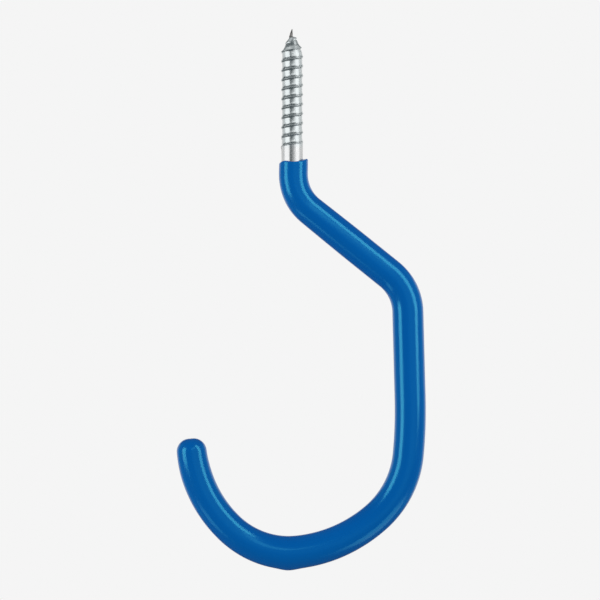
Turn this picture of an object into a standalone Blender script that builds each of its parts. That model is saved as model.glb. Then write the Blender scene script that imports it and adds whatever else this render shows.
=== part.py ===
"""Bicycle storage hook: a steel rod with a wood-screw end, bent to a J and dipped in blue vinyl.

Lengths are in metres and angles in degrees. +Z is up, the hook lies in the XZ plane and its mouth
faces -X. The origin is on the screw's axis, level with the vinyl's top edge, so the bare screw
stands above it and the hook hangs below it.
"""

import math
from itertools import pairwise

import bmesh
import bpy
from mathutils import Matrix, Vector

# Steel rod
ROD_DIAMETER = 0.0080
ROD_END_CHAMFER = 0.0005
SCREW_LENGTH = 0.0490  # from the vinyl to the very tip
BARE_SHANK = 0.00475  # plain round stretch between the vinyl and the thread

# Wood-screw thread, right hand, rolled into the rod
THREAD_PITCH = 0.0035
THREAD_RISE = 0.00015  # the crests stand this far proud of the shank
THREAD_DEPTH = 0.0005  # from the crests to the core
THREAD_CREST = 0.0003  # flat left on top of the ridge
THREAD_FLANK_ANGLE = 42.0  # each flank leans this far from square to the axis
THREAD_START_TURN = 180.0  # the first ridge leaves the shank on the -X side
THREAD_START_JOIN = 0.0008  # from the first ridge back to a level ring round the shank
THREAD_RUN_OUT = 90.0  # last part of the first turn, over which the groove sinks into the shank

# Gimlet point: a bare spike, then a core that widens quickly to a shoulder and slowly to its full
# size. Lengths are from the tip down
SPIKE_LENGTH = 0.0028
SPIKE_TIP_RADIUS = 0.0002
SPIKE_ROOT_RADIUS = 0.00066
SPIKE_BOW = 0.00046  # the spike leans this far towards -X at its root
SPIKE_BOW_LENGTH = 0.0036  # below this the core is straight again
SHOULDER_LENGTH = 0.0042
SHOULDER_RADIUS = 0.00185
POINT_CORE_LENGTH = 0.0088
TIP_FACET = 0.0004  # the thread's rows meet this far below the tip

# Ridge on the point, which starts at the spike's root and is full below POINT_LENGTH
RIDGE_START_RADIUS = 0.0018
RIDGE_BLEND = 0.0004
POINT_LENGTH = 0.0082
FLUSH_AT = 0.0047  # on the -X side here, the ridge hardly stands out from the core
FLUSH_REACH = 0.0011
FLUSH_SHARE = 0.85

# Centre line, in the order in which the rod passes through the bender
COLLAR_RUN = 0.0040
OFFSET_BEND_RADIUS = 0.0184
OFFSET_BEND_ANGLE = 51.2
OFFSET_RUN = 0.0373
SHANK_BEND_RADIUS = 0.0184
SHANK_BEND_ANGLE = 49.7
SHANK_RUN = 0.0320
EASE_RADIUS = 0.1760
EASE_ANGLE = 6.8
HEEL_RADIUS = 0.0351
HEEL_ANGLE = 43.9
SADDLE_RADIUS = 0.0522
SADDLE_ANGLE = 35.7
TOE_RADIUS = 0.0317
TOE_ANGLE = 49.1
ARM_RADIUS = 0.0461
ARM_ANGLE = 41.0
TIP_RUN = 0.0013

# Vinyl skin, thin where it drained after the dip and heavy under the lowest point
VINYL_WALL = 0.00177
VINYL_WALL_AT_COLLAR = 0.00137
VINYL_WALL_AT_TIP = 0.0015
VINYL_WALL_OVER_END = 0.0022  # along the rod, over its cropped end
END_FLAT = 0.0008  # radius of the flat middle of the rounded end
COLLAR_DRAIN = 0.0440  # stretch over which the wall grows from the collar's to the full one
TIP_DRAIN = 0.0150
COLLAR_LEAN = 0.0005  # at the collar the wall is this much thicker towards +X, thinner towards -X
LEAN_REACH = 0.0190
DIP_LINE_TILT = 6.0  # the top edge isn't square to the rod either
COLLAR_ROUNDING = 0.0005
SAG_DEPTH = 0.00075  # extra vinyl that ran to the underside of the lowest stretch
SAG_REACH_FROM_SHANK = 0.0265
SAG_REACH_FROM_ARM = 0.0155
DRIP_DEPTH = 0.0005  # the last drop, set at the lowest point
DRIP_REACH = 0.0030
DRIP_NARROWING = 6  # power of the downward facing, so that the drop is a nib and not a ring
FIT_GAP = 0.0003  # between the rod and the vinyl's bore

# Facets
SIDES = 24
BEND_STEP = 7.5
RUN_STEP = 0.0120
RING_GAP = 0.0005  # rings closer than this become one
DRIP_RINGS = 4  # on each side of the drop
DRIP_RING_STEP = 0.0015
END_RINGS = 4
ROUNDING_STEPS = 2  # facets across the collar's rounded edge
SEAM = 0.000001  # points closer than this are merged
SHARP_EDGE = 40.0

ROD_RADIUS = ROD_DIAMETER / 2
THREAD_RADIUS = ROD_RADIUS + THREAD_RISE
CORE_RADIUS = THREAD_RADIUS - THREAD_DEPTH
CORE_OUTLINE = (
    (0.0, SPIKE_TIP_RADIUS),
    (SPIKE_LENGTH, SPIKE_ROOT_RADIUS),
    (SHOULDER_LENGTH, SHOULDER_RADIUS),
    (POINT_CORE_LENGTH, CORE_RADIUS),
)
CREST_OUTLINE = ((SPIKE_LENGTH, RIDGE_START_RADIUS), (POINT_LENGTH, THREAD_RADIUS))
BORE_RADIUS = ROD_RADIUS + FIT_GAP
TIP_RADIUS = ROD_RADIUS + VINYL_WALL_AT_TIP
END_ROUNDING = TIP_RADIUS - END_FLAT


def smooth(share):
    """Eases from 0 to 1 as share goes from 0 to 1."""
    share = min(1.0, max(0.0, share))
    return share * share * (3 - 2 * share)


def run(length):
    """A straight stretch: its length and no turn."""
    return length, 0.0


def bend(radius, angle):
    """A bend: its length along the centre line and its turn in radians, towards +X if positive."""
    turn = math.radians(angle)
    return radius * abs(turn), turn


STRETCHES = (
    run(COLLAR_RUN),
    bend(OFFSET_BEND_RADIUS, OFFSET_BEND_ANGLE),
    run(OFFSET_RUN),
    bend(SHANK_BEND_RADIUS, -SHANK_BEND_ANGLE),
    run(SHANK_RUN),
    bend(EASE_RADIUS, -EASE_ANGLE),
    bend(HEEL_RADIUS, -HEEL_ANGLE),
    bend(SADDLE_RADIUS, -SADDLE_ANGLE),
    bend(TOE_RADIUS, -TOE_ANGLE),
    bend(ARM_RADIUS, -ARM_ANGLE),
    run(TIP_RUN),
)
ROD_END = sum(length for length, _ in STRETCHES)
BORE_END = ROD_END + FIT_GAP
VINYL_END = BORE_END + VINYL_WALL_OVER_END


def carry(length, turn):
    """The movement that carries a ring at the origin, heading down, along part of a stretch."""
    if not turn:
        return Matrix.Translation((0, 0, -length))
    centre = Matrix.Translation((length / turn, 0, 0))
    return centre @ Matrix.Rotation(-turn, 4, "Y") @ centre.inverted()


def pose_at(distance):
    """Where a ring lies after that distance along the centre line, from the vinyl's top edge."""
    if distance < 0:
        return carry(distance, 0)
    pose = Matrix.Identity(4)
    for length, turn in STRETCHES:
        share = min(1.0, distance / length)
        pose = pose @ carry(length * share, turn * share)
        distance -= length * share
    return pose @ carry(distance, 0)


def lowest_distance():
    """Distance of the centre line's lowest point, where the vinyl drips."""
    samples = 1000
    distances = [ROD_END * sample / samples for sample in range(samples)]
    return min(distances, key=lambda distance: pose_at(distance).translation.z)


LOWEST = lowest_distance()


def rings_between(start, end):
    """Distances of the rings that a wall needs between two distances, closer together in bends."""
    found = [start, end]
    reached = 0.0
    for length, turn in STRETCHES:
        steps = math.ceil(max(math.degrees(abs(turn)) / BEND_STEP, length / RUN_STEP))
        found += [reached + length * step / steps for step in range(steps)]
        reached += length
    inside = sorted(distance for distance in found if start <= distance <= end)
    return [near for near, far in pairwise(inside) if far - near > RING_GAP] + [end]


def cropped_radius(radius, end, distance):
    """Radius of a round bar whose chamfered end lies at the distance called end."""
    return radius - max(0.0, distance - (end - ROD_END_CHAMFER))


def rod_radius(distance, outward):
    """The rod is round, so it has one radius whichever way a side faces."""
    return cropped_radius(ROD_RADIUS, ROD_END, distance)


def bore_radius(distance, outward):
    """The vinyl took the rod's own round form."""
    return cropped_radius(BORE_RADIUS, BORE_END, distance)


def rounded_end(distance):
    """Share of the vinyl's full radius that its rounded end leaves at a distance."""
    depth = max(0.0, distance - (VINYL_END - END_ROUNDING))
    rounded = math.sqrt(max(0.0, END_ROUNDING**2 - depth**2))
    return (END_FLAT + rounded) / TIP_RADIUS


def vinyl_radius(distance, outward):
    """Outer radius of the vinyl at a distance, on the side that faces outward."""
    wall = VINYL_WALL
    wall -= (VINYL_WALL - VINYL_WALL_AT_COLLAR) * (1 - smooth(distance / COLLAR_DRAIN))
    wall -= (VINYL_WALL - VINYL_WALL_AT_TIP) * (1 - smooth((VINYL_END - distance) / TIP_DRAIN))
    wall += COLLAR_LEAN * outward.x * (1 - smooth(distance / LEAN_REACH))
    past = distance - LOWEST
    reach = SAG_REACH_FROM_ARM if past > 0 else SAG_REACH_FROM_SHANK
    sag = SAG_DEPTH * math.exp(-((past / reach) ** 2)) * (1 - outward.z) / 2
    nib = max(0.0, -outward.z) ** DRIP_NARROWING
    drip = DRIP_DEPTH * math.exp(-((past / DRIP_REACH) ** 2)) * nib
    return (ROD_RADIUS + wall + sag + drip) * rounded_end(distance)


def point_radius(outline, below_tip):
    """Radius at a distance below the tip, on the straight lines between an outline's places."""
    for (above, narrow), (below, wide) in pairwise(outline):
        if below_tip < below:
            return narrow + (wide - narrow) * (below_tip - above) / (below - above)
    return outline[-1][1]


def thread_radius(height, crest_share):
    """Radius of the thread at a height above the vinyl, from 0 in its groove to 1 on its crest."""
    below_tip = SCREW_LENGTH - height
    core = point_radius(CORE_OUTLINE, below_tip)
    ridge = max(0.0, point_radius(CREST_OUTLINE, below_tip) - core)
    flush = FLUSH_SHARE * smooth(1 - abs(below_tip - FLUSH_AT) / FLUSH_REACH)
    grown = smooth((below_tip - SPIKE_LENGTH) / RIDGE_BLEND) * (1 - flush)
    return core + ridge * crest_share * grown


def thread_rows():
    """Rise and crest share of the points across one turn, over the ridge and along the groove."""
    flank = THREAD_DEPTH * math.tan(math.radians(THREAD_FLANK_ANGLE))
    return (
        (0.0, 0.0),
        (flank, 1.0),
        (flank + THREAD_CREST, 1.0),
        (flank * 2 + THREAD_CREST, 0.0),
        (THREAD_PITCH, 0.0),
    )


def ring_verts(edges):
    """The points of a ring of edges, each once."""
    return list({vert for edge in edges for vert in edge.verts})


def open_edges(mesh):
    return [edge for edge in mesh.edges if edge.is_boundary]


def extrude_edges(mesh, edges, movement):
    """Extrudes a ring or a row of edges by a movement and returns its copy at the far side."""
    made = bmesh.ops.extrude_edge_only(mesh, edges=edges)["geom"]
    verts = {item for item in made if isinstance(item, bmesh.types.BMVert)}
    bmesh.ops.transform(mesh, matrix=movement, verts=list(verts))
    edges = [item for item in made if isinstance(item, bmesh.types.BMEdge)]
    return [edge for edge in edges if verts.issuperset(edge.verts)]


def size_ring(edges, distance, radius_at):
    """Gives each point of a ring the radius for its distance and for the way that it faces."""
    centre = pose_at(distance).translation
    for vert in ring_verts(edges):
        outward = (vert.co - centre).normalized()
        vert.co = centre + outward * radius_at(distance, outward)


def feed_ring(mesh, edges, distances, radius_at):
    """Feeds a ring along the centre line, as the bender feeds the rod, and returns its last ring."""
    for before, after in pairwise(distances):
        movement = pose_at(after) @ pose_at(before).inverted()
        edges = extrude_edges(mesh, edges, movement)
        size_ring(edges, after, radius_at)
    return edges


def shape_column(edges, turns):
    """Gives a column of the thread its radii. Its lowest point borders the shank in the first turn."""
    column = sorted(ring_verts(edges), key=lambda vert: vert.co.z)
    for vert, (_, crest_share) in zip(column, thread_rows()):
        radius = thread_radius(vert.co.z, crest_share)
        if vert is column[0]:
            sunk = smooth(1 + (turns - 1) * 360 / THREAD_RUN_OUT)
            radius = ROD_RADIUS + (radius - ROD_RADIUS) * sunk
        if vert.co.z > SCREW_LENGTH - TIP_FACET:
            vert.co = (0, 0, SCREW_LENGTH)
        else:
            vert.co.xy = vert.co.xy.normalized() * radius


def wind_thread(mesh):
    """Winds the thread's profile up the screw, facet by facet, until all its points meet at the tip."""
    start = Matrix.Rotation(math.radians(THREAD_START_TURN), 4, "Z")
    heights = [BARE_SHANK + rise for rise, _ in thread_rows()]
    profile = [mesh.verts.new(start @ Vector((ROD_RADIUS, 0, height))) for height in heights]
    edges = [mesh.edges.new(pair) for pair in pairwise(profile)]
    shape_column(edges, 0)
    facet = Matrix.Translation((0, 0, THREAD_PITCH / SIDES)) @ Matrix.Rotation(math.tau / SIDES, 4, "Z")
    climb = SCREW_LENGTH - TIP_FACET - BARE_SHANK
    for step in range(1, math.ceil(SIDES * climb / THREAD_PITCH) + 2):
        edges = extrude_edges(mesh, edges, facet)
        shape_column(edges, step / SIDES)
    bmesh.ops.remove_doubles(mesh, verts=mesh.verts, dist=SEAM)


def bow_spike(mesh):
    """Leans the spike a little, as the rolling dies left it."""
    for vert in mesh.verts:
        below_tip = SCREW_LENGTH - vert.co.z
        above_end = (SPIKE_BOW_LENGTH - below_tip) / (SPIKE_BOW_LENGTH - SPIKE_LENGTH)
        vert.co.x -= SPIKE_BOW * min(1.0, below_tip / SPIKE_LENGTH) * smooth(above_end)


def level_shank(mesh):
    """Draws the thread's lower end to a level ring round the shank, and returns that ring."""
    made = extrude_edges(mesh, open_edges(mesh), Matrix.Identity(4))
    verts = ring_verts(made)
    for vert in verts:
        vert.co.xy = vert.co.xy.normalized() * ROD_RADIUS
        vert.co.z = BARE_SHANK - THREAD_START_JOIN
    bmesh.ops.remove_doubles(mesh, verts=verts, dist=SEAM)
    return open_edges(mesh)


def finish_object(mesh, name, material):
    """Turns a closed bmesh into a named object, shaded smooth across its gentle edges."""
    bmesh.ops.recalc_face_normals(mesh, faces=mesh.faces)
    data = bpy.data.meshes.new(name)
    mesh.to_mesh(data)
    mesh.free()
    data.shade_smooth()
    data.set_sharp_from_angle(angle=math.radians(SHARP_EDGE))
    data.materials.append(material)
    bpy.context.scene.collection.objects.link(bpy.data.objects.new(name, data))


def new_material(name, colour, roughness, metallic):
    material = bpy.data.materials.new(name)
    material.use_nodes = True
    shader = material.node_tree.nodes["Principled BSDF"]
    shader.inputs["Base Color"].default_value = (*colour, 1)
    shader.inputs["Roughness"].default_value = roughness
    shader.inputs["Metallic"].default_value = metallic
    return material


def make_rod(material):
    """The whole steel piece, from the gimlet point to the cropped end inside the vinyl."""
    mesh = bmesh.new()
    wind_thread(mesh)
    bow_spike(mesh)
    ring = level_shank(mesh)
    body = rings_between(0.0, ROD_END - ROD_END_CHAMFER)
    distances = [THREAD_START_JOIN - BARE_SHANK, *body, ROD_END]
    ring = feed_ring(mesh, ring, distances, rod_radius)
    bmesh.ops.edgeloop_fill(mesh, edges=ring)
    finish_object(mesh, "steel_rod", material)


def vinyl_distances():
    """Rings of the vinyl's outside: closer together round the drop and over the rounded end."""
    drop = [LOWEST + DRIP_RING_STEP * step for step in range(-DRIP_RINGS, DRIP_RINGS + 1)]
    plain = rings_between(0.0, VINYL_END - END_ROUNDING)
    before = [distance for distance in plain if distance < drop[0] - RING_GAP]
    after = [distance for distance in plain if distance > drop[-1] + RING_GAP]
    angles = [math.pi / 2 * ring / END_RINGS for ring in range(1, END_RINGS + 1)]
    end = [VINYL_END - END_ROUNDING * (1 - math.sin(angle)) for angle in angles]
    return [*before, *drop, *after, *end]


def tilt_collar(edges):
    """Leans the vinyl's top edge as the dip left it."""
    for vert in ring_verts(edges):
        vert.co.z += vert.co.x * math.tan(math.radians(DIP_LINE_TILT))


def make_vinyl(material):
    """The dipped skin, made as one sweep: up its bore, over the collar and down its outside."""
    mesh = bmesh.new()
    radius = bore_radius(BORE_END, None)
    bmesh.ops.create_circle(mesh, segments=SIDES, radius=radius, matrix=pose_at(BORE_END))
    blind = list(mesh.edges)
    bore = [*rings_between(0.0, BORE_END - ROD_END_CHAMFER), BORE_END]
    mouth = feed_ring(mesh, blind, bore[::-1], bore_radius)
    bmesh.ops.edgeloop_fill(mesh, edges=blind)
    rim = extrude_edges(mesh, mouth, Matrix.Identity(4))
    size_ring(rim, 0.0, vinyl_radius)
    end = feed_ring(mesh, rim, vinyl_distances(), vinyl_radius)
    bmesh.ops.edgeloop_fill(mesh, edges=end)
    tilt_collar(rim + mouth)
    bmesh.ops.bevel(
        mesh,
        geom=rim,
        offset=COLLAR_ROUNDING,
        segments=ROUNDING_STEPS,
        profile=0.5,
        affect="EDGES",
        material=-1,
    )
    finish_object(mesh, "vinyl_coating", material)


def main():
    for leftover in list(bpy.data.objects):
        bpy.data.objects.remove(leftover)
    make_rod(new_material("bright_zinc", colour=(0.62, 0.63, 0.65), roughness=0.28, metallic=1.0))
    make_vinyl(new_material("blue_vinyl", colour=(0.0, 0.095, 0.36), roughness=0.30, metallic=0.0))


main()
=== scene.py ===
# %% [markdown]
# # A bicycle storage hook in bright zinc and blue vinyl
#
# The real hook is one length of 8 mm steel rod. One end is rolled into a wood screw, the rest is bent
# to a J, and the J is then dipped in liquid vinyl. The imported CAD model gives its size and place. This
# script makes a finer screw and a finer skin in the same space, and gives both their finish.

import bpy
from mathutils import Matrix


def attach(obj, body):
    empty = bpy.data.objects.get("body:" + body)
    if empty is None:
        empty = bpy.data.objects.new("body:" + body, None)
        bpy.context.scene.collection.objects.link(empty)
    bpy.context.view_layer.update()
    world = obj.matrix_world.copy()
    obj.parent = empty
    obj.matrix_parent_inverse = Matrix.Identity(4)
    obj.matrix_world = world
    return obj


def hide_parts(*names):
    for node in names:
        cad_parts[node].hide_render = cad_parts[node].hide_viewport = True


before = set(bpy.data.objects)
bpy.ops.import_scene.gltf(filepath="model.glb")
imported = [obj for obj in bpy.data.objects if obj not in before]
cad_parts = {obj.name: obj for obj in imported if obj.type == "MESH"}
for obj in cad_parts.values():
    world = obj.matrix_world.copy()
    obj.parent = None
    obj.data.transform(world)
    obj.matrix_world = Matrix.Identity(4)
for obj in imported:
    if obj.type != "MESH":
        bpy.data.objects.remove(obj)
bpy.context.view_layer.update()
print("CAD nodes:", sorted(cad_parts))

# %% Load the libraries
import math
from itertools import pairwise

import bmesh
import bpy
from mathutils import Matrix, Vector

print("Blender", bpy.app.version_string)

# %% [markdown]
# ## The bend table
#
# A wire bender works from a table of straight runs and bends, so the hook is drawn from one too. Each
# line below is a length in metres and a turn in degrees. A positive turn goes towards +X. The J is no
# true circle: it opens and closes a little, so it takes five bends of different radius.

# %% The rod's centre line
ROD_RADIUS = 0.0040
SCREW_LENGTH = 0.0490  # above the vinyl's top edge


def run(length):
    return length, 0.0


def bend(radius, degrees):
    turn = math.radians(degrees)
    return radius * abs(turn), turn


CENTRE_LINE = (
    run(0.0040),
    bend(0.0184, 51.2),
    run(0.0373),
    bend(0.0184, -49.7),
    run(0.0320),
    bend(0.1760, -6.8),
    bend(0.0351, -43.9),
    bend(0.0522, -35.7),
    bend(0.0317, -49.1),
    bend(0.0461, -41.0),
    run(0.0013),
)
ROD_END = sum(length for length, _ in CENTRE_LINE)
print(f"The rod is {ROD_RADIUS * 2000:.1f} mm thick. Its screw is {SCREW_LENGTH * 1000:.1f} mm long")
print(f"and it runs {ROD_END * 1000:.1f} mm from the vinyl's edge to its cropped end")

# %% [markdown]
# ## Feeding a ring along the rod
#
# A ring of points that is extruded step by step along the centre line leaves a tube behind it. The
# spin operator could make each bend, but it gives no hold on the ring's radius on the way, and the
# vinyl is thicker in some places than in others. So each step is one extrude and one transform.


# %% Where a ring lies along the rod
def carry(length, turn):
    """The movement that carries a ring at the origin, heading down, along part of a stretch."""
    if not turn:
        return Matrix.Translation((0, 0, -length))
    centre = Matrix.Translation((length / turn, 0, 0))
    return centre @ Matrix.Rotation(-turn, 4, "Y") @ centre.inverted()


def pose_at(distance):
    """Where a ring lies at a distance down the centre line from the vinyl's top edge."""
    if distance < 0:
        return carry(distance, 0)
    pose = Matrix.Identity(4)
    for length, turn in CENTRE_LINE:
        share = min(1.0, distance / length)
        pose = pose @ carry(length * share, turn * share)
        distance -= length * share
    return pose @ carry(distance, 0)


def smooth(share):
    """Eases from 0 to 1."""
    share = min(1.0, max(0.0, share))
    return share * share * (3 - 2 * share)


def evenly(start, end, step):
    """Distances from start to end, both with them, no further apart than step."""
    steps = max(1, math.ceil(abs(end - start) / step))
    return [start + (end - start) * number / steps for number in range(steps + 1)]


SEARCH_STEP = 0.0002
LOWEST = min(evenly(0.0, ROD_END, SEARCH_STEP), key=lambda distance: pose_at(distance).translation.z)
print(f"The hook's lowest point lies {LOWEST * 1000:.1f} mm along")

# %% [markdown]
# ## Keeping the straight rod's coordinates
#
# Drawn wire has fine lines along its length, and vinyl flows along the rod as it drains. Both patterns
# follow the bends. Each point therefore stores where it would lie if the rod were straight, and the
# materials read that attribute instead of the point's real place.

# %% Extruding and sizing rings
STRAIGHT = "straight_rod"


def ring_verts(edges):
    """Each point of the edges once, in the edges' order."""
    return list(dict.fromkeys(vert for edge in edges for vert in edge.verts))


def open_edges(mesh):
    return [edge for edge in mesh.edges if edge.is_boundary]


def extrude_edges(mesh, edges, movement):
    """Extrudes a ring or a row of edges and returns the far copy."""
    made = bmesh.ops.extrude_edge_only(mesh, edges=edges)["geom"]
    verts = [item for item in made if isinstance(item, bmesh.types.BMVert)]
    bmesh.ops.transform(mesh, matrix=movement, verts=verts)
    far = set(verts)
    made = [item for item in made if isinstance(item, bmesh.types.BMEdge)]
    return [edge for edge in made if far.issuperset(edge.verts)]


def size_ring(mesh, edges, distance, radius_at):
    """Gives each point of a ring its radius, and notes its place on the straight rod."""
    straight = mesh.verts.layers.float_vector[STRAIGHT]
    pose = pose_at(distance)
    back = pose.to_3x3().inverted()
    for vert in ring_verts(edges):
        outward = (vert.co - pose.translation).normalized()
        radius = radius_at(distance, outward)
        vert.co = pose.translation + outward * radius
        vert[straight] = back @ outward * radius + Vector((0, 0, -distance))


def feed_ring(mesh, edges, distances, radius_at):
    """Feeds a ring along the centre line and returns its last ring."""
    for before, after in pairwise(distances):
        edges = extrude_edges(mesh, edges, pose_at(after) @ pose_at(before).inverted())
        size_ring(mesh, edges, after, radius_at)
    return edges


def new_mesh():
    mesh = bmesh.new()
    mesh.verts.layers.float_vector.new(STRAIGHT)
    return mesh


# %% Finishing a piece
def finish_piece(mesh, name, replaced, sharp_degrees):
    """Makes the piece that stands for a CAD node, and says how many triangles it has."""
    bmesh.ops.recalc_face_normals(mesh, faces=mesh.faces)
    holes = len(open_edges(mesh))
    data = bpy.data.meshes.new(name)
    mesh.to_mesh(data)
    mesh.free()
    data.shade_smooth()
    data.set_sharp_from_angle(angle=math.radians(sharp_degrees))
    piece = bpy.data.objects.new(name, data)
    bpy.context.scene.collection.objects.link(piece)
    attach(piece, "root")
    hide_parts(replaced)
    triangles = sum(len(face.vertices) - 2 for face in data.polygons)
    print(f"{name}: {triangles} triangles, {holes} open edges")
    return piece


# %% [markdown]
# ## The wood-screw thread
#
# The thread is rolled into the rod, so its core is thinner than the rod and its crests stand a little
# proud of it. Each ridge has a short lower side and a long hollow upper side, which catches the light
# above every crest. The Screw modifier could wind it, but here the ridge has to die out on the shank
# and shrink over the point. A short upright row of points is therefore extruded round and up, and each
# new row gets the radius that belongs to its height.

# %% The ridge's outline
THREAD_FACETS = 96
PITCH = 0.0035
BARE_SHANK = 0.00462
CREST_RADIUS = 0.00415
CORE_RADIUS = 0.00370
CREST_FLAT = 0.00006
FLANK = 0.00076  # the ridge's lower side
FOOT_FILLET = 0.35  # this share of it curves into the groove, and the rest is straight
HOLLOW = 0.0017  # the ridge's upper side is a long hollow that steepens towards the crest
HOLLOW_POWER = 2.4
FLANK_ROWS = 7
HOLLOW_ROWS = 10
GROOVE_ROWS = 2
RIDGE_WIDTH = FLANK + CREST_FLAT + HOLLOW


def flank_share(share):
    """Height up the lower flank, which starts level at its foot and ends in a sharp crest."""
    curved = min(share, FOOT_FILLET)
    return (share - curved + curved**2 / FOOT_FILLET / 2) / (1 - FOOT_FILLET / 2)


def thread_rows():
    """Rise and crest share of the points across one turn: over the ridge, then along the groove."""
    rows = []
    for rise in evenly(0.0, FLANK, FLANK / FLANK_ROWS):
        rows.append((rise, flank_share(rise / FLANK)))
    for rise in evenly(FLANK + CREST_FLAT, RIDGE_WIDTH, HOLLOW / HOLLOW_ROWS):
        rows.append((rise, ((RIDGE_WIDTH - rise) / HOLLOW) ** HOLLOW_POWER))
    groove = evenly(RIDGE_WIDTH, PITCH, (PITCH - RIDGE_WIDTH) / GROOVE_ROWS)
    return rows + [(rise, 0.0) for rise in groove[1:]]


ROWS = thread_rows()
print(f"One turn of the thread has {len(ROWS)} points across it")

# %% [markdown]
# ## The gimlet point
#
# The point bites into wood. It is a bare spike, then a shoulder where the ridge starts, then a cone up
# to the full core. The rolling dies left the ridge almost flush with the shoulder in one place. A plain
# cone would be quicker to make, but the eye goes to the point first, so its radii are read from a table
# of places below the tip.

# %% The point's radii
SPIKE_LENGTH = 0.0028  # the point's lengths are all from the tip down
SPIKE_TIP_RADIUS = 0.00010
SPIKE_SWELL = (0.0017, 0.00052)  # here it is already nearly as wide as at its root
SPIKE_ROOT_RADIUS = 0.00064
SHOULDER_LENGTH = 0.0046
SHOULDER_RADIUS = 0.00200
POINT_CORE_LENGTH = 0.0088
POINT_CORE = (
    (0.0, SPIKE_TIP_RADIUS),
    SPIKE_SWELL,
    (SPIKE_LENGTH, SPIKE_ROOT_RADIUS),
    (SHOULDER_LENGTH, SHOULDER_RADIUS),
    (POINT_CORE_LENGTH, CORE_RADIUS),
)
RIDGE_START_RADIUS = 0.0018
RIDGE_BLEND = 0.0003
POINT_LENGTH = 0.0082
POINT_CREST = ((SPIKE_LENGTH, RIDGE_START_RADIUS), (POINT_LENGTH, CREST_RADIUS))
FLUSH_AT = 0.0044  # round here the ridge is almost flush with the core
FLUSH_REACH = 0.0016
FLUSH_SHARE = 0.85


def point_radius(outline, below_tip):
    """Radius of the point, read between two places of its outline."""
    for (above, narrow), (below, wide) in pairwise(outline):
        if below_tip < below:
            return narrow + (wide - narrow) * (below_tip - above) / (below - above)
    return outline[-1][1]


def thread_radius(height, crest_share):
    """Radius at a height above the vinyl, from 0 in the groove to 1 on the crest."""
    below_tip = SCREW_LENGTH - height
    crest = point_radius(POINT_CREST, below_tip)
    core = point_radius(POINT_CORE, below_tip)
    flush = FLUSH_SHARE * smooth(1 - abs(below_tip - FLUSH_AT) / FLUSH_REACH)
    grown = smooth((below_tip - SPIKE_LENGTH) / RIDGE_BLEND) * (1 - flush)
    return core + max(0.0, crest - core) * crest_share * grown


crest_height = SCREW_LENGTH - POINT_LENGTH
print(f"The crest reaches {thread_radius(crest_height, 1.0) * 2000:.2f} mm across at the point's foot")

# %% Winding the thread
RUN_OUT_TURNS = 0.25  # the groove sinks into the shank over the last part of the first turn
RIDGE_START_TURNS = 0.16  # the first ridge grows out of the shank over this part of a turn
TIP_FACET = 0.00015  # points that come this close to the tip meet in it
MERGE_DISTANCE = 0.000001


def shape_column(edges, turns):
    """Gives a row of the thread its radii. In the first turn its foot rises out of the shank."""
    column = sorted(ring_verts(edges), key=lambda vert: vert.co.z)
    for vert, (rise, crest_share) in zip(column, ROWS):
        radius = thread_radius(vert.co.z, crest_share)
        if vert is column[0]:
            sunk = smooth(1 + (turns - 1) / RUN_OUT_TURNS)
            radius = ROD_RADIUS + (radius - ROD_RADIUS) * sunk
        elif rise < FLANK:
            radius = max(radius, ROD_RADIUS) if turns < 1 else radius
            radius = ROD_RADIUS + (radius - ROD_RADIUS) * smooth(turns / RIDGE_START_TURNS)
        if vert.co.z > SCREW_LENGTH - TIP_FACET:
            vert.co = (0, 0, SCREW_LENGTH)
        else:
            vert.co.xy = vert.co.xy.normalized() * radius


def wind_thread(mesh):
    """Winds the row up the screw and over its tip, where all its points meet."""
    heights = [BARE_SHANK + rise for rise, _ in ROWS]
    profile = [mesh.verts.new((-ROD_RADIUS, 0, height)) for height in heights]
    edges = [mesh.edges.new(pair) for pair in pairwise(profile)]
    shape_column(edges, 0)
    turn = Matrix.Rotation(math.tau / THREAD_FACETS, 4, "Z")
    facet = Matrix.Translation((0, 0, PITCH / THREAD_FACETS)) @ turn
    climb = SCREW_LENGTH - TIP_FACET - BARE_SHANK
    for step in range(1, math.ceil(THREAD_FACETS * climb / PITCH) + 2):
        edges = extrude_edges(mesh, edges, facet)
        shape_column(edges, step / THREAD_FACETS)
    bmesh.ops.remove_doubles(mesh, verts=mesh.verts, dist=MERGE_DISTANCE)


screw = new_mesh()
wind_thread(screw)
print(f"The thread has {len(screw.faces)} faces")

# %% Bowing the point and levelling the shank
BOW = 0.00046  # the spike leans towards -X, most at its root
BOW_END = 0.0036
SHANK_JOIN = 0.0008


def bow_point(mesh):
    """Leans the spike, as the rolling dies left it."""
    for vert in mesh.verts:
        below_tip = SCREW_LENGTH - vert.co.z
        above_end = (BOW_END - below_tip) / (BOW_END - SPIKE_LENGTH)
        vert.co.x -= BOW * min(1.0, below_tip / SPIKE_LENGTH) * smooth(above_end)


def level_shank(mesh):
    """Draws the thread's lower end down to a level ring round the shank, and returns that ring."""
    made = extrude_edges(mesh, open_edges(mesh), Matrix.Identity(4))
    verts = ring_verts(made)
    for vert in verts:
        vert.co.xy = vert.co.xy.normalized() * ROD_RADIUS
        vert.co.z = BARE_SHANK - SHANK_JOIN
    bmesh.ops.remove_doubles(mesh, verts=verts, dist=MERGE_DISTANCE)
    return open_edges(mesh)


bow_point(screw)
ring = level_shank(screw)
straight = screw.verts.layers.float_vector[STRAIGHT]
for vert in screw.verts:
    vert[straight] = vert.co
print(f"The shank's ring has {len(ring)} sides")

# %% [markdown]
# ## The bent rod
#
# Below the screw the rod runs on inside the vinyl to a cropped end with a small chamfer. The skin hides
# it, so a simple stub would look the same from outside. It is made in full all the same, because the
# rod carries the load, and its rings can be far apart where no one sees them.

# %% Feeding the rod through its bends
ROD_END_CHAMFER = 0.0005
HIDDEN_STEP = 0.002
SCREW_SHARP = 32  # degrees from which an edge is shaded sharp


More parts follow.
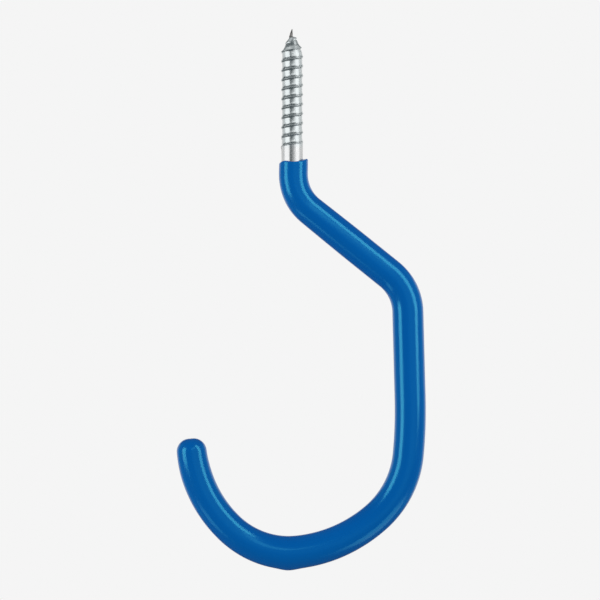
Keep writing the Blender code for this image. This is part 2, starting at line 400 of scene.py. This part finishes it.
def rod_radius(distance, outward):
    return ROD_RADIUS - max(0.0, distance - (ROD_END - ROD_END_CHAMFER))


body = [SHANK_JOIN - BARE_SHANK, *evenly(0.0, ROD_END - ROD_END_CHAMFER, HIDDEN_STEP), ROD_END]
ring = feed_ring(screw, ring, body, rod_radius)
bmesh.ops.edgeloop_fill(screw, edges=ring)
rod_piece = finish_piece(screw, "zinc_screw_rod", "steel_rod", SCREW_SHARP)

# %% [markdown]
# ## The vinyl skin
#
# Liquid vinyl drains as it sets. The skin is thin at the top edge, heavier under the lowest stretch,
# and a last drop hangs at the lowest point. One sweep makes it: up its bore, over the rim and down its
# outside. A Solidify modifier would give one even wall, which a dipped skin doesn't have.

# %% How thick the skin is
WALL = 0.00177
WALL_AT_COLLAR = 0.00137
WALL_AT_TIP = 0.0015
WALL_OVER_END = 0.0022
END_FLAT = 0.0008
COLLAR_DRAIN = 0.0440
TIP_DRAIN = 0.0150
COLLAR_LEAN = 0.0005
LEAN_REACH = 0.0190
SAG_DEPTH = 0.00075
SAG_REACH_FROM_SHANK = 0.0265
SAG_REACH_FROM_ARM = 0.0155
DRIP_DEPTH = 0.0005
DRIP_REACH = 0.0030
DRIP_NARROWING = 6
CAD_GAP = 0.0003  # the CAD model's skin starts this far past the rod's end
VINYL_END = ROD_END + CAD_GAP + WALL_OVER_END
TIP_RADIUS = ROD_RADIUS + WALL_AT_TIP
END_ROUNDING = TIP_RADIUS - END_FLAT


def rounded_end(distance):
    """Share of the full radius that the rounded end leaves."""
    depth = max(0.0, distance - (VINYL_END - END_ROUNDING))
    return (END_FLAT + math.sqrt(max(0.0, END_ROUNDING**2 - depth**2))) / TIP_RADIUS


def vinyl_radius(distance, outward):
    """Outer radius of the skin at a distance, on the side that faces outward."""
    wall = WALL
    wall -= (WALL - WALL_AT_COLLAR) * (1 - smooth(distance / COLLAR_DRAIN))
    wall -= (WALL - WALL_AT_TIP) * (1 - smooth((VINYL_END - distance) / TIP_DRAIN))
    wall += COLLAR_LEAN * outward.x * (1 - smooth(distance / LEAN_REACH))
    past = distance - LOWEST
    reach = SAG_REACH_FROM_ARM if past > 0 else SAG_REACH_FROM_SHANK
    sag = SAG_DEPTH * math.exp(-((past / reach) ** 2)) * (1 - outward.z) / 2
    nib = max(0.0, -outward.z) ** DRIP_NARROWING
    drip = DRIP_DEPTH * math.exp(-((past / DRIP_REACH) ** 2)) * nib
    return (ROD_RADIUS + wall + sag + drip) * rounded_end(distance)


FRONT, DOWN = Vector((0, -1, 0)), Vector((0, 0, -1))
for words, distance, side in (
    ("at the front of the collar", 0.0, FRONT),
    ("at the front, halfway along", ROD_END / 2, FRONT),
    ("under the drop", LOWEST, DOWN),
):
    print(f"Wall {words}: {(vinyl_radius(distance, side) - ROD_RADIUS) * 1000:.2f} mm")

# %% Sweeping the skin
SKIN_SIDES = 96
SKIN_STEP = 0.0010
END_RINGS = 16
BOND = 0.00002  # the skin sits this far off the steel, which no eye can see
BORE_END = ROD_END + BOND


def bore_radius(distance, outward):
    return ROD_RADIUS + BOND - max(0.0, distance - (BORE_END - ROD_END_CHAMFER))


def skin_distances():
    """Rings down the outside, closer together over the rounded end."""
    straight_part = evenly(0.0, VINYL_END - END_ROUNDING, SKIN_STEP)
    angles = [math.pi / 2 * ring / END_RINGS for ring in range(1, END_RINGS + 1)]
    return straight_part + [VINYL_END - END_ROUNDING * (1 - math.sin(angle)) for angle in angles]


skin = new_mesh()
bmesh.ops.create_circle(
    skin, segments=SKIN_SIDES, radius=bore_radius(BORE_END, None), matrix=pose_at(BORE_END)
)
blind = list(skin.edges)
size_ring(skin, blind, BORE_END, bore_radius)
bore = [*evenly(0.0, BORE_END - ROD_END_CHAMFER, HIDDEN_STEP), BORE_END]
mouth = feed_ring(skin, blind, bore[::-1], bore_radius)
bmesh.ops.edgeloop_fill(skin, edges=blind)
rim = extrude_edges(skin, mouth, Matrix.Identity(4))
size_ring(skin, rim, 0.0, vinyl_radius)
end = feed_ring(skin, rim, skin_distances(), vinyl_radius)
bmesh.ops.edgeloop_fill(skin, edges=end)
print(f"The skin has {len(skin.faces)} faces")

# %% [markdown]
# ## The dip line
#
# Where the hook stopped sinking into the bath, the vinyl ends in a wavy line that is a little higher
# on one side. Noise could draw a line like it, but three waves are easier to match to a photograph. The
# rim's points move up and down by a tilt and those waves. The rim is moved before it is bevelled, so
# that its rounding follows the line.

# %% Moving and rounding the rim
DIP_TILT = 0.105
DIP_WAVES = ((2, 0.00018, 0.6), (3, 0.00022, 1.9), (5, 0.00008, 0.3))  # count, height, phase
DIP_REACH = 0.0040  # the rings below follow the line over this distance
RIM_ROUNDING = 0.0005
RIM_SEGMENTS = 6
SKIN_SHARP = 60  # degrees from which an edge is shaded sharp


def dip_line(x, y):
    """Height of the dip line above the square edge, at a place round the rod."""
    angle = math.atan2(y, x)
    waves = sum(height * math.sin(count * angle + phase) for count, height, phase in DIP_WAVES)
    return x * DIP_TILT + waves


def follow_dip_line(mesh):
    for vert in mesh.verts:
        if vert.co.z > -DIP_REACH:
            vert.co.z += dip_line(vert.co.x, vert.co.y) * smooth(1 + vert.co.z / DIP_REACH)


follow_dip_line(skin)
bmesh.ops.bevel(
    skin,
    geom=rim,
    offset=RIM_ROUNDING,
    segments=RIM_SEGMENTS,
    profile=0.5,
    affect="EDGES",
    material=-1,
)
skin_piece = finish_piece(skin, "blue_vinyl_skin", "vinyl_coating", SKIN_SHARP)

# %% [markdown]
# ## Building materials from nodes
#
# Both finishes are built from nodes. They could be joined up by hand in the shader editor. Here a
# helper adds a node, sets its sockets and wires them, so that each material below reads as a list of
# what it is made of.


# %% A helper for nodes
def add_node(tree, kind, inputs=None, **settings):
    """Adds a node. A tuple (node, output) in inputs is a link, and anything else is a value."""
    node = tree.nodes.new(kind)
    for name, value in settings.items():
        setattr(node, name, value)
    for socket, value in (inputs or {}).items():
        if isinstance(value, tuple) and isinstance(value[0], bpy.types.Node):
            tree.links.new(value[0].outputs[value[1]], node.inputs[socket])
        else:
            node.inputs[socket].default_value = value
    return node


def new_material(name):
    material = bpy.data.materials.new(name)
    material.use_nodes = True
    return material, material.node_tree, material.node_tree.nodes["Principled BSDF"]


def wire(tree, shader, **sockets):
    """Links nodes to the shader. An underscore in a socket's name stands for a space."""
    for name, (node, output) in sockets.items():
        tree.links.new(node.outputs[output], shader.inputs[name.replace("_", " ")])


# %% [markdown]
# ## Blue vinyl
#
# Dipped vinyl is glossy but not flat: it keeps long, soft waves from draining, a very fine peel and
# clouds in its tone and gloss. A plain blue with one roughness would look like moulded plastic. So
# three noises read the straight rod's coordinates: one for the waves, one for the peel, and one for
# the clouds. The waves and the clouds are stretched along the rod.

# %% The vinyl's nodes
VINYL_DEEP = (0.0, 0.078, 0.315, 1)
VINYL_CLEAR = (0.0, 0.088, 0.345, 1)
VINYL_SHEEN = (0.12, 0.95, 1.0, 1.0)  # its highlights are a clear blue too
VINYL_IOR = 1.58
FLOW_STRETCH = 0.35

vinyl, tree, shader = new_material("dipped_blue_vinyl")
place = add_node(tree, "ShaderNodeAttribute", attribute_name=STRAIGHT)
flow_place = add_node(
    tree, "ShaderNodeMapping", {"Vector": (place, "Vector"), "Scale": (1.0, 1.0, FLOW_STRETCH)}
)
flow = add_node(
    tree, "ShaderNodeTexNoise", {"Vector": (flow_place, "Vector"), "Scale": 140.0, "Detail": 2.0}
)
peel = add_node(
    tree, "ShaderNodeTexNoise", {"Vector": (place, "Vector"), "Scale": 900.0, "Detail": 3.0}
)
cloud = add_node(
    tree, "ShaderNodeTexNoise", {"Vector": (flow_place, "Vector"), "Scale": 90.0, "Detail": 3.0}
)
tone = add_node(tree, "ShaderNodeMix", {"Factor": (cloud, "Fac")}, data_type="RGBA")
tone.inputs["A"].default_value = VINYL_DEEP
tone.inputs["B"].default_value = VINYL_CLEAR
gloss = add_node(
    tree, "ShaderNodeMapRange", {"Value": (cloud, "Fac"), "To Min": 0.15, "To Max": 0.24}
)
wave = add_node(
    tree, "ShaderNodeBump", {"Height": (flow, "Fac"), "Strength": 0.20, "Distance": 0.0002}
)
skin_bump = add_node(
    tree,
    "ShaderNodeBump",
    {"Height": (peel, "Fac"), "Strength": 0.05, "Distance": 0.00001, "Normal": (wave, "Normal")},
)
wire(
    tree,
    shader,
    Base_Color=(tone, "Result"),
    Roughness=(gloss, "Result"),
    Normal=(skin_bump, "Normal"),
)
shader.inputs["IOR"].default_value = VINYL_IOR
shader.inputs["Specular Tint"].default_value = VINYL_SHEEN
skin_piece.data.materials.append(vinyl)
print("Vinyl nodes:", len(tree.nodes))

# %% [markdown]
# ## Bright zinc
#
# Zinc plating is a thin bright metal over the drawn rod. The rod's fine lines still show in it, its
# gloss is stained here and there, and the rolled thread is a little cooler in tone than the shank. The
# thin spike is given a darker tone. A texture could be painted for this, but two noises and two fades
# by height give the same and stay sharp at any distance.

# %% The zinc's nodes
ZINC_SHANK = (0.66, 0.65, 0.64, 1)
ZINC_THREAD = (0.62, 0.645, 0.64, 1)
# the thin spike is given this darker tone
ZINC_DARK_SPIKE = (0.21, 0.20, 0.19, 1)
ZINC_STAIN = (0.86, 0.88, 0.90, 1)
ROLLED_FROM = 0.0045  # the thread's tone takes over between these heights
ROLLED_TO = 0.0065
LINE_STRETCH = 0.02

zinc, tree, shader = new_material("bright_zinc_plate")
place = add_node(tree, "ShaderNodeAttribute", attribute_name=STRAIGHT)
lines_place = add_node(
    tree, "ShaderNodeMapping", {"Vector": (place, "Vector"), "Scale": (1.0, 1.0, LINE_STRETCH)}
)
lines = add_node(
    tree, "ShaderNodeTexNoise", {"Vector": (lines_place, "Vector"), "Scale": 1800.0, "Detail": 3.0}
)
stain = add_node(
    tree, "ShaderNodeTexNoise", {"Vector": (place, "Vector"), "Scale": 350.0, "Detail": 4.0}
)
height = add_node(tree, "ShaderNodeSeparateXYZ", {"Vector": (place, "Vector")})
rolled = add_node(
    tree,
    "ShaderNodeMapRange",
    {"Value": (height, "Z"), "From Min": ROLLED_FROM, "From Max": ROLLED_TO},
)
tint = add_node(tree, "ShaderNodeMix", {"Factor": (rolled, "Result")}, data_type="RGBA")
tint.inputs["A"].default_value = ZINC_SHANK
tint.inputs["B"].default_value = ZINC_THREAD
# the darker tone covers the spike and fades out over the part just below it
spike_share = add_node(
    tree,
    "ShaderNodeMapRange",
    {
        "Value": (height, "Z"),
        "From Min": SCREW_LENGTH - BOW_END,
        "From Max": SCREW_LENGTH - SPIKE_LENGTH,
    },
    interpolation_type="SMOOTHSTEP",
)
point_tint = add_node(
    tree, "ShaderNodeMix", {"Factor": (spike_share, "Result"), "A": (tint, "Result")}, data_type="RGBA"
)
point_tint.inputs["B"].default_value = ZINC_DARK_SPIKE
shade = add_node(
    tree,
    "ShaderNodeMix",
    {"Factor": (stain, "Fac"), "A": (point_tint, "Result")},
    data_type="RGBA",
    blend_type="MULTIPLY",
)
shade.inputs["B"].default_value = ZINC_STAIN
gloss = add_node(
    tree, "ShaderNodeMapRange", {"Value": (stain, "Fac"), "To Min": 0.20, "To Max": 0.32}
)
line_bump = add_node(
    tree, "ShaderNodeBump", {"Height": (lines, "Fac"), "Strength": 0.2, "Distance": 0.00002}
)
wire(
    tree,
    shader,
    Base_Color=(shade, "Result"),
    Roughness=(gloss, "Result"),
    Normal=(line_bump, "Normal"),
)
shader.inputs["Metallic"].default_value = 1.0
rod_piece.data.materials.append(zinc)
print("Zinc nodes:", len(tree.nodes))

# %% [markdown]
# ## The room
#
# The hook stands before a pale background, yet its steel shows a dark stripe, so the rest of the room
# was dim. One pale colour all round would wash that stripe out. So the world answers by the kind of
# ray. The camera, and a ray through anything clear, sees the background on every side. Reflections see
# it as a sheet that stands behind the hook, and round it a dim room with one soft glow beside the
# camera. Other rays get a plain fill.

# %% What reflections and the fill light see
AMBIENT_ABOVE = 0.50
AMBIENT_BELOW = 0.85
ROOM = (0.070, 0.095, 0.105)
GLOW_WAY = (24, 8)  # azimuth from the camera and elevation
GLOW_REACH = (6, 34)  # degrees from its middle to where it starts to fade, and to where it ends
GLOW = 0.36


def direction(azimuth, elevation):
    """Unit vector from the hook. Azimuth is counted from the camera, positive towards +X."""
    a, e = math.radians(azimuth), math.radians(elevation)
    return Vector((math.sin(a) * math.cos(e), -math.cos(a) * math.cos(e), math.sin(e)))


world = bpy.data.worlds.new("studio_room")
world.use_nodes = True
bpy.context.scene.world = world
tree = world.node_tree
tree.nodes.clear()
way = add_node(tree, "ShaderNodeTexCoord")
facing = add_node(
    tree,
    "ShaderNodeVectorMath",
    {0: (way, "Generated"), 1: direction(*GLOW_WAY)},
    operation="DOT_PRODUCT",
)
glow = add_node(
    tree,
    "ShaderNodeMapRange",
    {
        "Value": (facing, "Value"),
        "From Min": math.cos(math.radians(GLOW_REACH[1])),
        "From Max": math.cos(math.radians(GLOW_REACH[0])),
        "To Max": GLOW,
    },
    interpolation_type="SMOOTHSTEP",
)
reflected = add_node(tree, "ShaderNodeVectorMath", {0: (glow, "Result"), 1: ROOM})
axes = add_node(tree, "ShaderNodeSeparateXYZ", {"Vector": (way, "Generated")})
ambient = add_node(
    tree,
    "ShaderNodeMapRange",
    {
        "Value": (axes, "Z"),
        "From Min": -1.0,
        "From Max": 1.0,
        "To Min": AMBIENT_BELOW,
        "To Max": AMBIENT_ABOVE,
    },
)
path = add_node(tree, "ShaderNodeLightPath")
room = add_node(
    tree,
    "ShaderNodeMix",
    {"Factor": (path, "Is Glossy Ray"), "A": (ambient, "Result"), "B": (reflected, "Vector")},
    data_type="RGBA",
)
print("Room nodes:", len(tree.nodes))

# %% The pale background
PALE = 0.913  # linear value of the background
SHEET_EDGE = (0.50, 0.62)  # the mirrored sheet fades in here, as a share of straight back
SHEET_HEIGHT = (0.30, 0.46)  # and out here, as a share of straight up or down

behind = add_node(
    tree,
    "ShaderNodeMapRange",
    {"Value": (axes, "Y"), "From Min": SHEET_EDGE[0], "From Max": SHEET_EDGE[1]},
)
off_level = add_node(tree, "ShaderNodeMath", {0: (axes, "Z")}, operation="ABSOLUTE")
level = add_node(
    tree,
    "ShaderNodeMapRange",
    {
        "Value": (off_level, "Value"),
        "From Min": SHEET_HEIGHT[1],
        "From Max": SHEET_HEIGHT[0],
    },
    interpolation_type="SMOOTHSTEP",
)
sheet = add_node(
    tree, "ShaderNodeMath", {0: (behind, "Result"), 1: (level, "Result")}, operation="MULTIPLY"
)
mirrored = add_node(
    tree, "ShaderNodeMath", {0: (path, "Is Glossy Ray"), 1: (sheet, "Value")}, operation="MULTIPLY"
)
direct = add_node(
    tree,
    "ShaderNodeMath",
    {0: (path, "Is Camera Ray"), 1: (path, "Is Transmission Ray")},
    operation="MAXIMUM",
)
pale_ray = add_node(
    tree, "ShaderNodeMath", {0: (direct, "Value"), 1: (mirrored, "Value")}, operation="MAXIMUM"
)
seen = add_node(
    tree, "ShaderNodeMix", {"Factor": (pale_ray, "Value"), "A": (room, "Result")}, data_type="RGBA"
)
seen.inputs["B"].default_value = (PALE, PALE, PALE, 1)
sky = add_node(tree, "ShaderNodeBackground", {"Color": (seen, "Result"), "Strength": 1.0})
add_node(tree, "ShaderNodeOutputWorld", {"Surface": (sky, "Background")})
print("World nodes:", len(tree.nodes))

# %% [markdown]
# ## The floor
#
# The photograph shows no floor, only the pale background. From higher up the hook would float, so a
# pale disc below it takes its shadow. Its middle is nearly the background's tone and its rim fades to
# nothing, so no edge shows. A shadow catcher could take the shadow too, but a painted disc is plainer
# to follow and its tone can be set.

# %% A disc that fades out
FLOOR_LEVEL = -0.20
FLOOR_RADIUS = 0.40
FLOOR_SIDES = 96
FLOOR_TONE = 0.60
FLOOR_GLOW = 0.35
FLOOR_FADE = (0.22, 0.44)  # the floor clears away over these distances from the hook's origin

floor_mesh = bmesh.new()
bmesh.ops.create_circle(floor_mesh, cap_ends=True, segments=FLOOR_SIDES, radius=FLOOR_RADIUS)
bmesh.ops.translate(floor_mesh, verts=floor_mesh.verts, vec=(0, 0, FLOOR_LEVEL))
floor_data = bpy.data.meshes.new("floor")
floor_mesh.to_mesh(floor_data)
floor_mesh.free()
floor = bpy.data.objects.new("floor", floor_data)
floor.visible_glossy = False
floor.visible_diffuse = False
bpy.context.scene.collection.objects.link(floor)
print(f"The floor lies {-FLOOR_LEVEL * 1000:.0f} mm below the vinyl's top edge")

# %% The floor's paint
floor_paint = bpy.data.materials.new("pale_floor")
floor_paint.use_nodes = True
tree = floor_paint.node_tree
tree.nodes.clear()
matt = add_node(tree, "ShaderNodeBsdfDiffuse", {"Color": (FLOOR_TONE, FLOOR_TONE, FLOOR_TONE, 1)})
glow = add_node(tree, "ShaderNodeEmission", {"Strength": FLOOR_GLOW})
lit = add_node(tree, "ShaderNodeAddShader", {0: (matt, "BSDF"), 1: (glow, "Emission")})
clear = add_node(tree, "ShaderNodeBsdfTransparent")
spot = add_node(tree, "ShaderNodeTexCoord")
reach = add_node(tree, "ShaderNodeVectorMath", {0: (spot, "Object")}, operation="LENGTH")
fade = add_node(
    tree,
    "ShaderNodeMapRange",
    {"Value": (reach, "Value"), "From Min": FLOOR_FADE[0], "From Max": FLOOR_FADE[1]},
    interpolation_type="SMOOTHSTEP",
)
blend = add_node(
    tree, "ShaderNodeMixShader", {"Fac": (fade, "Result"), 1: (lit, "Shader"), 2: (clear, "BSDF")}
)
add_node(tree, "ShaderNodeOutputMaterial", {"Surface": (blend, "Shader")})
floor_data.materials.append(floor_paint)
print("Floor nodes:", len(tree.nodes))

# %% [markdown]
# ## The lamps
#
# Vinyl and steel want different light, so each piece has its own lamps, and light linking keeps them
# apart. One set of lamps for both would be simpler, but what draws a clean line on the vinyl leaves the
# steel dark. The vinyl gets two softboxes, about sixty degrees round from the camera to either side,
# and a few faint ones that only reflections see. Their reflections are the long highlights on every
# bend. The steel stands between white cards. The gap between the cards is the dark stripe down its
# middle, and a card above the camera lights the hollow over each ridge. The floor has a small lamp of
# its own, which gives the hook a shadow in raised views.

# %% A softbox for one piece
LAMP_DISTANCE = 0.75
AIM = Vector((0.0029, 0.0, -0.0513))  # the middle of the photograph


def add_lamp(piece, name, azimuth, elevation, wide, tall, roll, radiance, colour, lights):
    """Adds a lamp. Its width and height are in degrees, as the hook sees them."""
    way = direction(azimuth, elevation)
    lamp = bpy.data.lights.new(name, "AREA")
    lamp.shape = "RECTANGLE"
    lamp.size = 2 * LAMP_DISTANCE * math.tan(math.radians(wide / 2))
    lamp.size_y = 2 * LAMP_DISTANCE * math.tan(math.radians(tall / 2))
    lamp.energy = radiance * math.pi * lamp.size * lamp.size_y
    lamp.color = colour
    thing = bpy.data.objects.new(name, lamp)
    facing = (-way).to_track_quat("-Z", "Y").to_matrix().to_4x4()
    turned = facing @ Matrix.Rotation(math.radians(roll), 4, "Z")
    thing.matrix_world = Matrix.Translation(AIM + way * LAMP_DISTANCE) @ turned
    thing.visible_camera = False
    thing.visible_diffuse = lights
    bpy.context.scene.collection.objects.link(thing)
    thing.light_linking.receiver_collection = bpy.data.collections.new(name + "_lights")
    thing.light_linking.receiver_collection.objects.link(piece)
    print(f"{name}: {lamp.size:.2f} by {lamp.size_y:.2f} m, {lamp.energy:.2f} W")


# %% Setting up the lamps
PLAIN = (1.0, 1.0, 1.0)
EDGE = (0.08, 0.90, 1.0)  # the vinyl's blue has less red than a screen can show, and so has its edge

# Piece, name, azimuth, elevation, width, height, roll, radiance, colour, and whether it lights the
# piece as well as showing in its reflections
LAMPS = (
    (skin_piece, "softbox_left", -62, 6, 27, 40, 0, 4.5, PLAIN, True),
    (skin_piece, "softbox_right", 57, 24, 23, 58, 18, 4.4, PLAIN, True),
    (skin_piece, "low_left", -62, -39, 24, 11, 0, 1.6, PLAIN, False),
    (skin_piece, "low_right", 66, -48, 34, 28, 0, 1.5, PLAIN, False),
    (skin_piece, "overhead_strip", 13, 27, 11, 36, -55, 1.5, PLAIN, False),
    (skin_piece, "beside_left", -109, 0, 28, 80, 0, 0.30, EDGE, False),
    (skin_piece, "beside_right", 109, 0, 28, 80, 0, 0.30, EDGE, False),
    (rod_piece, "card_beside_left", -104, 0, 38, 50, 0, 0.75, PLAIN, True),
    (rod_piece, "card_beside_right", 105, 0, 36, 72, 0, 0.77, PLAIN, True),
    (rod_piece, "card_left", -57, 0, 58, 74, 0, 1.42, PLAIN, True),
    (rod_piece, "card_right", 63, 0, 44, 96, 0, 1.45, PLAIN, True),
    (rod_piece, "card_right_inner", 32, 0, 18, 74, 0, 0.60, PLAIN, True),
    (rod_piece, "card_front_above", 8, 25, 40, 22, 0, 0.78, PLAIN, True),
    (rod_piece, "fill_left_above", -131, 60, 44, 36, 0, 0.58, PLAIN, True),
    (rod_piece, "fill_left_below", -131, -60, 44, 36, 0, 0.58, PLAIN, True),
    (rod_piece, "fill_right_above", 131, 60, 44, 36, 0, 0.52, PLAIN, True),
    (rod_piece, "fill_right_below", 131, -60, 44, 36, 0, 0.52, PLAIN, True),
    (rod_piece, "fill_above", 0, 82, 60, 40, 0, 0.50, PLAIN, True),
    (rod_piece, "fill_below", 0, -84, 60, 30, 0, 0.15, PLAIN, True),
    (floor, "floor_lamp", 20, 65, 9, 9, 0, 60.0, PLAIN, True),
)
for row in LAMPS:
    add_lamp(*row)

# %% [markdown]
# ## The camera
#
# The photograph is square on and shows hardly any perspective. An orthographic camera would give that
# view, but no real lens does, so a long lens stands well back, at the distance where the picture is as
# wide as the photograph at the hook.

# %% A long lens
PICTURE_WIDTH = 0.2220  # metres across the photograph at the hook
LENS = 200.0  # millimetres, as the sensor
SENSOR = 36.0

camera_data = bpy.data.cameras.new("camera")
camera_data.lens = LENS
camera_data.sensor_width = SENSOR
camera = bpy.data.objects.new("camera", camera_data)
camera.location = AIM - Vector((0, PICTURE_WIDTH * LENS / SENSOR, 0))
camera.rotation_euler = (math.radians(90), 0, 0)
bpy.context.scene.collection.objects.link(camera)
bpy.context.scene.camera = camera
bpy.context.scene.view_settings.view_transform = "Standard"
print(f"The camera stands {-camera.location.y:.2f} m away")
